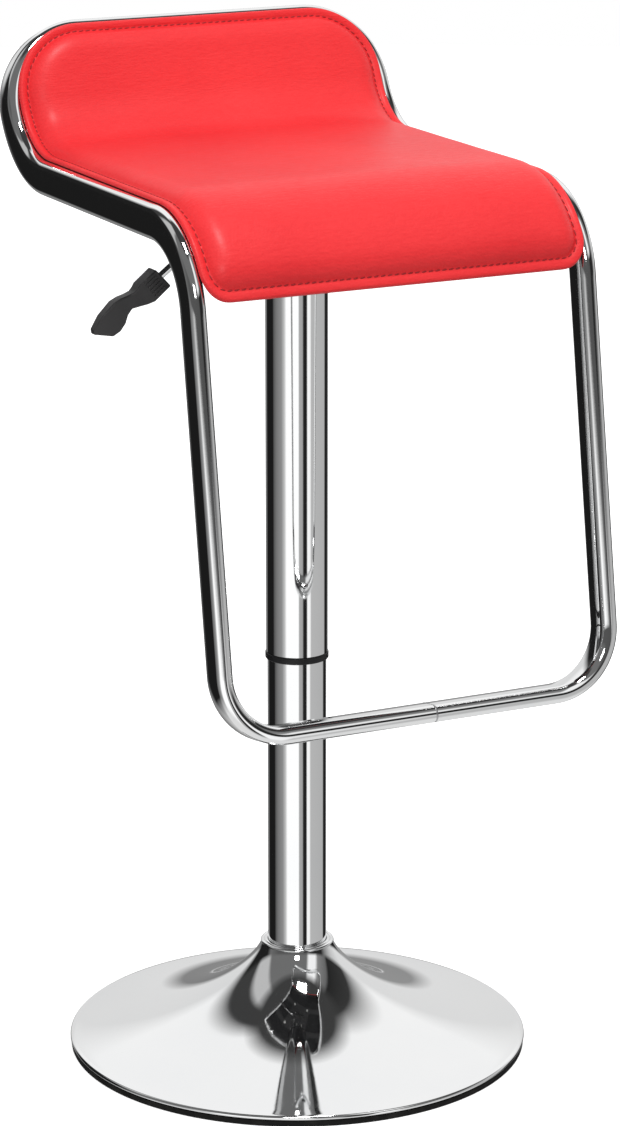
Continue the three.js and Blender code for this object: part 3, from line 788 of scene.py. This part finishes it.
def padHeight(inset):
    s = padShape
    groove = s["grooveDepth"] * math.exp(-((inset - s["stitchAt"]) / s["grooveHalf"]) ** 2)
    t = min(max((inset - s["shoulderFrom"]) / (s["shoulderTo"] - s["shoulderFrom"]), 0.0), 1.0)
    shoulder = s["rise"] * (1 - (1 - t) ** s["shoulderCurve"])
    middle = s["crown"] * easeUp((inset - s["shoulderFrom"]) / s["crownSpan"])
    fold = s["edgeDrop"] * max(0.0, 1 - inset / s["edgeRound"]) ** 2
    return s["flangeTop"] - groove + shoulder + middle - fold


backShape = {
    "flangeBottom": 14.3,
    "wallFrom": 4.6,
    "wallTo": 7.4,
    "panBottom": 3.7,
    "sheet": 1.3,
    "setIn": 2.0,            # its edge, inside the turned down edge of the front cover
    "barClear": 5.2,         # how much further in the pan starts at the back, past the top bar
}


def backHeight(inset):
    s = backShape
    drop = easeUp((inset - s["wallFrom"]) / (s["wallTo"] - s["wallFrom"]))
    return s["flangeBottom"] + (s["panBottom"] - s["flangeBottom"]) * drop


def thicken(piece, thickness, offset):
    # offset -1 thickens downwards and 1 upwards
    applyModifier(piece, "SOLIDIFY", thickness=thickness * mm, offset=offset)
    soften = piece.modifiers.new("soften", "SUBSURF")
    soften.levels = 1
    soften.render_levels = 1


def makePad():
    pad = panelSheet("seat_pad", padHeight)
    s = padShape
    for vert in pad.data.vertices:   # the raised part only
        lift = (vert.co.z / mm - s["flangeTop"]) / s["rise"]
        wave = noiseAt(vert.co / (s["unevenSpan"] * mm))
        vert.co.z += wave * s["unevenness"] * mm * easeUp(lift)
    layOnProfile(pad)
    thicken(pad, s["sheet"], -1)
    bpy.ops.object.shade_smooth()
    mountPiece(pad, "seat", "red_leatherette", redLeather, "seat_cover", "seat_foam")


def makeBackCover():
    skin = panelSheet("back_cover_skin", backHeight, backShape["setIn"], backShape["barClear"])
    layOnProfile(skin)
    thicken(skin, backShape["sheet"], 1)
    bpy.ops.object.shade_smooth()
    # the back cover's near-black lining colour is painted shade under the seat
    mountPiece(skin, "seat", "black_lining", paintedShadeLining, "back_cover")


stitchShape = {
    "pitch": 5.9,
    "length": 4.6,
    "width": 1.1,
    "height": 0.8,
    "slant": 7,
    "topAt": 16.2,
    "underAt": 14.15,
    "sides": 8,
    "rings": 5,
    "walkSteps": 240,        # points on each side of the outline that the seam is measured on
}


def stitchWalk(inset, pitch):
    # evenly spaced places round the outline, each with the direction of the seam there
    steps = stitchShape["walkSteps"]
    points = [sidePoint(inset, side, i / steps) for side in range(4) for i in range(steps)]
    points.append(points[0])
    spans = [math.dist(a, b) for a, b in zip(points, points[1:])]
    count = round(sum(spans) / pitch)
    gap = sum(spans) / count
    walked, wanted, places = 0.0, gap / 2, []
    for (ax, ay), (bx, by), span in zip(points, points[1:], spans):
        while walked + span >= wanted and len(places) < count:
            share = (wanted - walked) / span
            places.append((ax + (bx - ax) * share, ay + (by - ay) * share, math.atan2(ay - by, bx - ax)))
            wanted += gap
        walked += span
    return places


def makeStitches():
    s = stitchShape
    clearSelection()
    bpy.ops.mesh.primitive_uv_sphere_add(segments=s["sides"], ring_count=s["rings"], radius=0.5 * mm)
    first = startPiece("stitch")
    bpy.ops.transform.resize(value=(s["length"], s["width"], s["height"]), center_override=(0, 0, 0))
    bpy.ops.object.mode_set(mode="OBJECT")
    bpy.ops.object.shade_smooth()
    copies = []
    for level in (s["topAt"], s["underAt"]):
        for x, y, angle in stitchWalk(padShape["stitchAt"], s["pitch"]):
            turned = Matrix.Rotation(angle + math.radians(s["slant"]), 4, "Z")
            mesh = first.data.copy()
            mesh.transform(Matrix.Translation((x * mm, -y * mm, level * mm)) @ turned)
            copy = bpy.data.objects.new("stitch_copy", mesh)
            bpy.context.scene.collection.objects.link(copy)
            copies.append(copy)
    bpy.data.objects.remove(first)
    clearSelection()
    for copy in copies:
        copy.select_set(True)
    bpy.context.view_layer.objects.active = copies[0]
    bpy.ops.object.join()
    thread = bpy.context.active_object
    thread.name = "seam_stitching"
    thread.data.name = "seam_stitching"
    layOnProfile(thread)
    mountPiece(thread, "seat", "red_leatherette", redThread)


makePad()
makeBackCover()
makeStitches()
print("seat covers made")

# lever
leverShape = {
    "radius": 3.0,
    "start": (5, 714.8),     # x, z of the rod's inner end
    "bend": (-60.2, 714.8),
    "end": (-139, 655.3),
    "bendRadius": 14,
    "bendSteps": 12,
    "facets": 48,
    "pivot": (-28, 708.6),
    "eyeRadius": 5.2,
    "eyeLength": 32,
    "eyeEdge": 0.5,
}


def makeLeverRod():
    s = leverShape
    start, knee, end = (Vector(s[key]) for key in ("start", "bend", "end"))
    out = (end - knee).normalized()
    turn = math.acos(-out.x)
    reach = s["bendRadius"] * math.tan(turn / 2)
    clearSelection()
    bpy.ops.mesh.primitive_circle_add(
        vertices=s["facets"], radius=s["radius"] * mm,
        location=(start.x * mm, 0, start.y * mm), rotation=(0, math.pi / 2, 0))
    rod = startPiece("lever_rod_bright")
    straight = (knee.x + reach - start.x) * mm
    bpy.ops.mesh.extrude_edges_move(TRANSFORM_OT_translate={"value": (straight, 0, 0)})
    centre = ((knee.x + reach) * mm, 0, (knee.y - s["bendRadius"]) * mm)
    bpy.ops.mesh.spin(steps=s["bendSteps"], angle=turn, center=centre, axis=(0, 1, 0))
    run = (end - knee - out * reach) * mm
    bpy.ops.mesh.extrude_edges_move(TRANSFORM_OT_translate={"value": (run.x, 0, run.y)})
    bpy.ops.mesh.select_all(action="SELECT")
    bpy.ops.mesh.fill_holes(sides=0)
    endPiece(rod, 40)
    px, pz = s["pivot"]
    clearSelection()
    bpy.ops.mesh.primitive_cylinder_add(
        vertices=s["facets"], radius=s["eyeRadius"] * mm, depth=s["eyeLength"] * mm,
        location=(px * mm, 0, pz * mm), rotation=(math.pi / 2, 0, 0))
    eye = startPiece("lever_eye")
    endPiece(eye, 40)
    applyModifier(eye, "BEVEL", width=s["eyeEdge"] * mm, segments=3)
    rod.select_set(True)
    bpy.context.view_layer.objects.active = rod
    bpy.ops.object.join()
    mountPiece(rod, "lever", "chrome", chrome, "lever_rod")


gripShape = {
    # middle (x, z), lean of its height from +Z towards -X in degrees, half height, half thickness
    "sections": [
        ((-120.6, 669.0), 43, 9.2, 6.6),
        ((-121.4, 668.4), 43, 9.7, 7.0),
        ((-134.6, 657.6), 43, 9.7, 7.0),
        ((-138.6, 655.0), 36, 8.0, 6.4),
        ((-143.5, 653.0), 24, 6.4, 5.6),
        ((-149.2, 651.4), 20, 5.9, 5.2),
        ((-154.0, 648.2), 24, 7.6, 5.4),
        ((-158.2, 643.4), 30, 10.0, 5.6),
        ((-165.5, 635.2), 52, 10.4, 5.0),
        ((-170.6, 628.8), 74, 9.8, 4.2),
        ((-171.4, 626.2), 80, 8.6, 3.4),
    ],
    "edge": 1.5,
    "ribs": 5,               # raised bars along both sides of the block
    "ribSize": (11.5, 1.2, 1.1),
    "ribEdge": 0.35,
    "ribFace": 7.0,          # the block's face, which each rib is half sunk in
    "ribPitch": 3.0,
    "ribMiddle": (-128, 663.1),
    "ribLean": 39.5,         # their fall towards -X, in degrees
}


def makeRib(side, place):
    # place counts the ribs from the middle one, and side is the face's sign along Y
    s = gripShape
    lean = math.radians(s["ribLean"])
    x, z = s["ribMiddle"]
    x -= math.sin(lean) * place * s["ribPitch"]
    z += math.cos(lean) * place * s["ribPitch"]
    clearSelection()
    bpy.ops.mesh.primitive_cube_add(
        size=mm, location=(x * mm, side * s["ribFace"] * mm, z * mm),
        scale=s["ribSize"], rotation=(0, -lean, 0))
    rib = startPiece("grip_rib")
    endPiece(rib)
    applyModifier(rib, "BEVEL", width=s["ribEdge"] * mm, segments=3)
    return rib


def makeLeverGrip():
    s = gripShape

    def cornersOf(section):
        (x, z), lean, tall, thick = section
        up = Vector((-math.sin(math.radians(lean)), 0, math.cos(math.radians(lean))))
        middle = Vector((x, 0, z))
        return [(middle + up * tall * i + Vector((0, thick * j, 0))) * mm
                for i, j in ((-1, -1), (1, -1), (1, 1), (-1, 1))]

    clearSelection()
    bpy.ops.mesh.primitive_plane_add(size=mm)
    grip = startPiece("lever_grip_moulded")
    mesh = bmesh.from_edit_mesh(grip.data)
    mesh.faces.ensure_lookup_table()
    for vert, place in zip(mesh.faces[0].verts, cornersOf(s["sections"][0])):
        vert.co = place
    bmesh.update_edit_mesh(grip.data)
    for old, new in zip(s["sections"], s["sections"][1:]):
        bpy.ops.mesh.extrude_region_move(TRANSFORM_OT_translate={"value": (0, 0, 0)})
        was, now = cornersOf(old), cornersOf(new)
        mesh = bmesh.from_edit_mesh(grip.data)
        for vert in mesh.verts:
            if vert.select:
                nearest = min(range(4), key=lambda k: (vert.co - was[k]).length)
                vert.co = now[nearest]
        bmesh.update_edit_mesh(grip.data)
    endPiece(grip, 45)
    applyModifier(grip, "BEVEL", width=s["edge"] * mm, segments=4, limit_method="ANGLE",
                  angle_limit=math.radians(40))
    bpy.ops.object.shade_smooth_by_angle(angle=math.radians(28))
    ribs = [makeRib(side, i - (s["ribs"] - 1) / 2) for side in (1, -1) for i in range(s["ribs"])]
    clearSelection()
    for rib in ribs:
        rib.select_set(True)
    grip.select_set(True)
    bpy.context.view_layer.objects.active = grip
    bpy.ops.object.join()
    mountPiece(grip, "lever", "black_plastic", gripPlastic, "lever_grip")


makeLeverRod()
makeLeverGrip()
print("lever made")


# camera, floor and lights
view = {
    "turn": -26.2276,        # degrees round Z from straight in front, minus towards the lever
    "swing": -0.1956,        # how far it looks past the Z axis
    "tilt": 15.4069,         # downwards
    "distance": 3.1704,      # metres from the Z axis
    "height": 1.2919,
    "lens": 127.719,
    "sensor": 36,
}


def setCamera():
    turn, swing, tilt = (math.radians(view[key]) for key in ("turn", "swing", "tilt"))
    heading = turn + swing
    right = Vector((math.cos(heading), math.sin(heading), 0))
    ahead = Vector((-math.sin(heading) * math.cos(tilt), math.cos(heading) * math.cos(tilt), -math.sin(tilt)))
    up = right.cross(ahead)
    lens = bpy.data.cameras.new("camera")
    lens.sensor_width = view["sensor"]
    lens.lens = view["lens"]
    lens.clip_end = 50
    camera = bpy.data.objects.new("camera", lens)
    bpy.context.scene.collection.objects.link(camera)
    turnTo = Matrix((right, up, -ahead)).transposed().to_4x4()
    away = view["distance"]
    spot = Vector((away * math.sin(turn), -away * math.cos(turn), view["height"]))
    camera.matrix_world = Matrix.Translation(spot) @ turnTo
    bpy.context.scene.camera = camera
    return right, -Vector((ahead.x, ahead.y, 0)).normalized()


floorShape = {"radius": 6, "border": 1, "facets": 96, "glow": 0.6}   # radius and border in metres


def makeFloor():
    s = floorShape
    clearSelection()
    bpy.ops.mesh.primitive_circle_add(vertices=s["facets"], radius=s["radius"], fill_type="NGON")
    floor = startPiece("floor")
    bpy.ops.mesh.inset(thickness=s["border"])
    bpy.ops.object.mode_set(mode="OBJECT")
    constants = {"Specular IOR Level": 0.1, "Emission Strength": s["glow"]}
    paper, shader, coords = newFinish("pale paper", constants)
    shader.inputs["Emission Color"].default_value = (1, 1, 1, 1)
    fibre = noise(coords, 30, 3)
    plug(shader, "Base Color", mixColour(fibre, (0.93, 0.93, 0.93, 1), (0.95, 0.95, 0.95, 1)))
    plug(shader, "Roughness", spread(fibre, 0.3, 0.7, 0.8, 0.95))
    floor.data.materials.append(paper)
    floor.visible_glossy = False
    floor.visible_diffuse = False


studio = {
    # each ring of the surround, lowest first: the heights over which it fades in, as the sine of the
    # elevation, and its shade at each turn in degrees, from 0 behind the camera and growing to its right
    "rings": [
        (None, [(-180, 0.28), (-168, 0.22), (-148, 0.25), (-138, 0.012), (-98, 0.012), (-93, 0.1),
                (-80, 0.2), (-58, 0.3), (-46, 0.6), (-38, 1.15), (6, 1.15), (9, 0.45), (21, 0.4),
                (25, 0.02), (37, 0.015), (41, 1.1), (51, 1.0), (55, 0.52), (120, 0.48),
                (127, 0.015), (150, 0.015), (156, 0.35), (180, 0.28)]),
        ((-0.05, 0.05), [(-180, 0.78), (-146, 0.78), (-136, 0.015), (-100, 0.015), (-88, 0.16),
                         (-60, 0.1), (36, 0.09), (48, 0.02), (80, 0.02), (92, 0.25), (112, 0.6),
                         (132, 0.8), (180, 0.78)]),
        ((0.34, 0.46), [(-180, 1.0), (-148, 1.0), (-136, 0.05), (-120, 0.05), (-112, 0.55),
                        (-90, 0.55), (-82, 0.17), (30, 0.17), (38, 1.0), (58, 1.0), (66, 0.25),
                        (88, 0.15), (94, 0.02), (124, 0.04), (146, 1.0), (180, 1.0)]),
        ((0.86, 0.92), [(-180, 0.05), (180, 0.05)]),
    ],
    "ground": (-0.75, -0.5),   # heights over which the plain floor gives way to the lowest ring
    "above": 0.78,           # plain light on what is matt, from above and from below
    "below": 0.45,
}


def makeStudio(right, back):
    world = bpy.data.worlds.new("studio")
    world.use_nodes = True
    bpy.context.scene.world = world
    tree = world.node_tree
    shader = tree.nodes["Background"]
    direction = Wire(tree, tree.nodes.new("ShaderNodeTexCoord").outputs["Generated"])

    def along(axis):
        settings = {"operation": "DOT_PRODUCT"}
        return direction.node("ShaderNodeVectorMath", settings, {0: direction, 1: axis}, output=1)

    turn = along(right).maths("ARCTAN2", along(right), along(back)) * (0.5 / math.pi) + 0.5
    height = along((0, 0, 1))

    def bands(stops):
        placed = [(angle / 360 + 0.5, shade) for angle, shade in stops]
        return turn.node("ShaderNodeValToRGB", {"stops": placed}, {"Fac": turn})

    surround = None
    for fade, stops in studio["rings"]:
        ring = bands(stops)
        surround = mixColour(spread(height, *fade), surround, ring) if fade else ring
    surround = mixColour(spread(height, *studio["ground"]), (0.8, 0.8, 0.8, 1), surround)
    paths = tree.nodes.new("ShaderNodeLightPath")
    isGlossy = Wire(tree, paths.outputs["Is Glossy Ray"])
    isCamera = Wire(tree, paths.outputs["Is Camera Ray"])
    plain = spread(height, -0.3, 0.3, studio["below"], studio["above"])
    colour = mixColour(isGlossy, plain, surround)
    plug(shader, "Color", mixColour(isCamera, colour, (1, 1, 1, 1)))


lamps = [
    # name, place, aim, size, watts
    ("top softbox", (-0.1, -0.9, 3.6), (0, 0, 0.75), 0.7, 43),
    ("front softbox", (-1.2, -2.4, 1.9), (0, 0, 0.8), 0.6, 14),
]


def makeLamps():
    for name, place, aim, size, watts in lamps:
        lamp = bpy.data.lights.new(name, "AREA")
        lamp.energy = watts
        lamp.size = size
        holder = bpy.data.objects.new(name, lamp)
        bpy.context.scene.collection.objects.link(holder)
        holder.location = place
        holder.rotation_euler = (Vector(aim) - Vector(place)).to_track_quat("-Z", "Y").to_euler()


makeStudio(*setCamera())
makeFloor()
makeLamps()
bpy.context.scene.view_settings.view_transform = "Standard"
print("studio made")
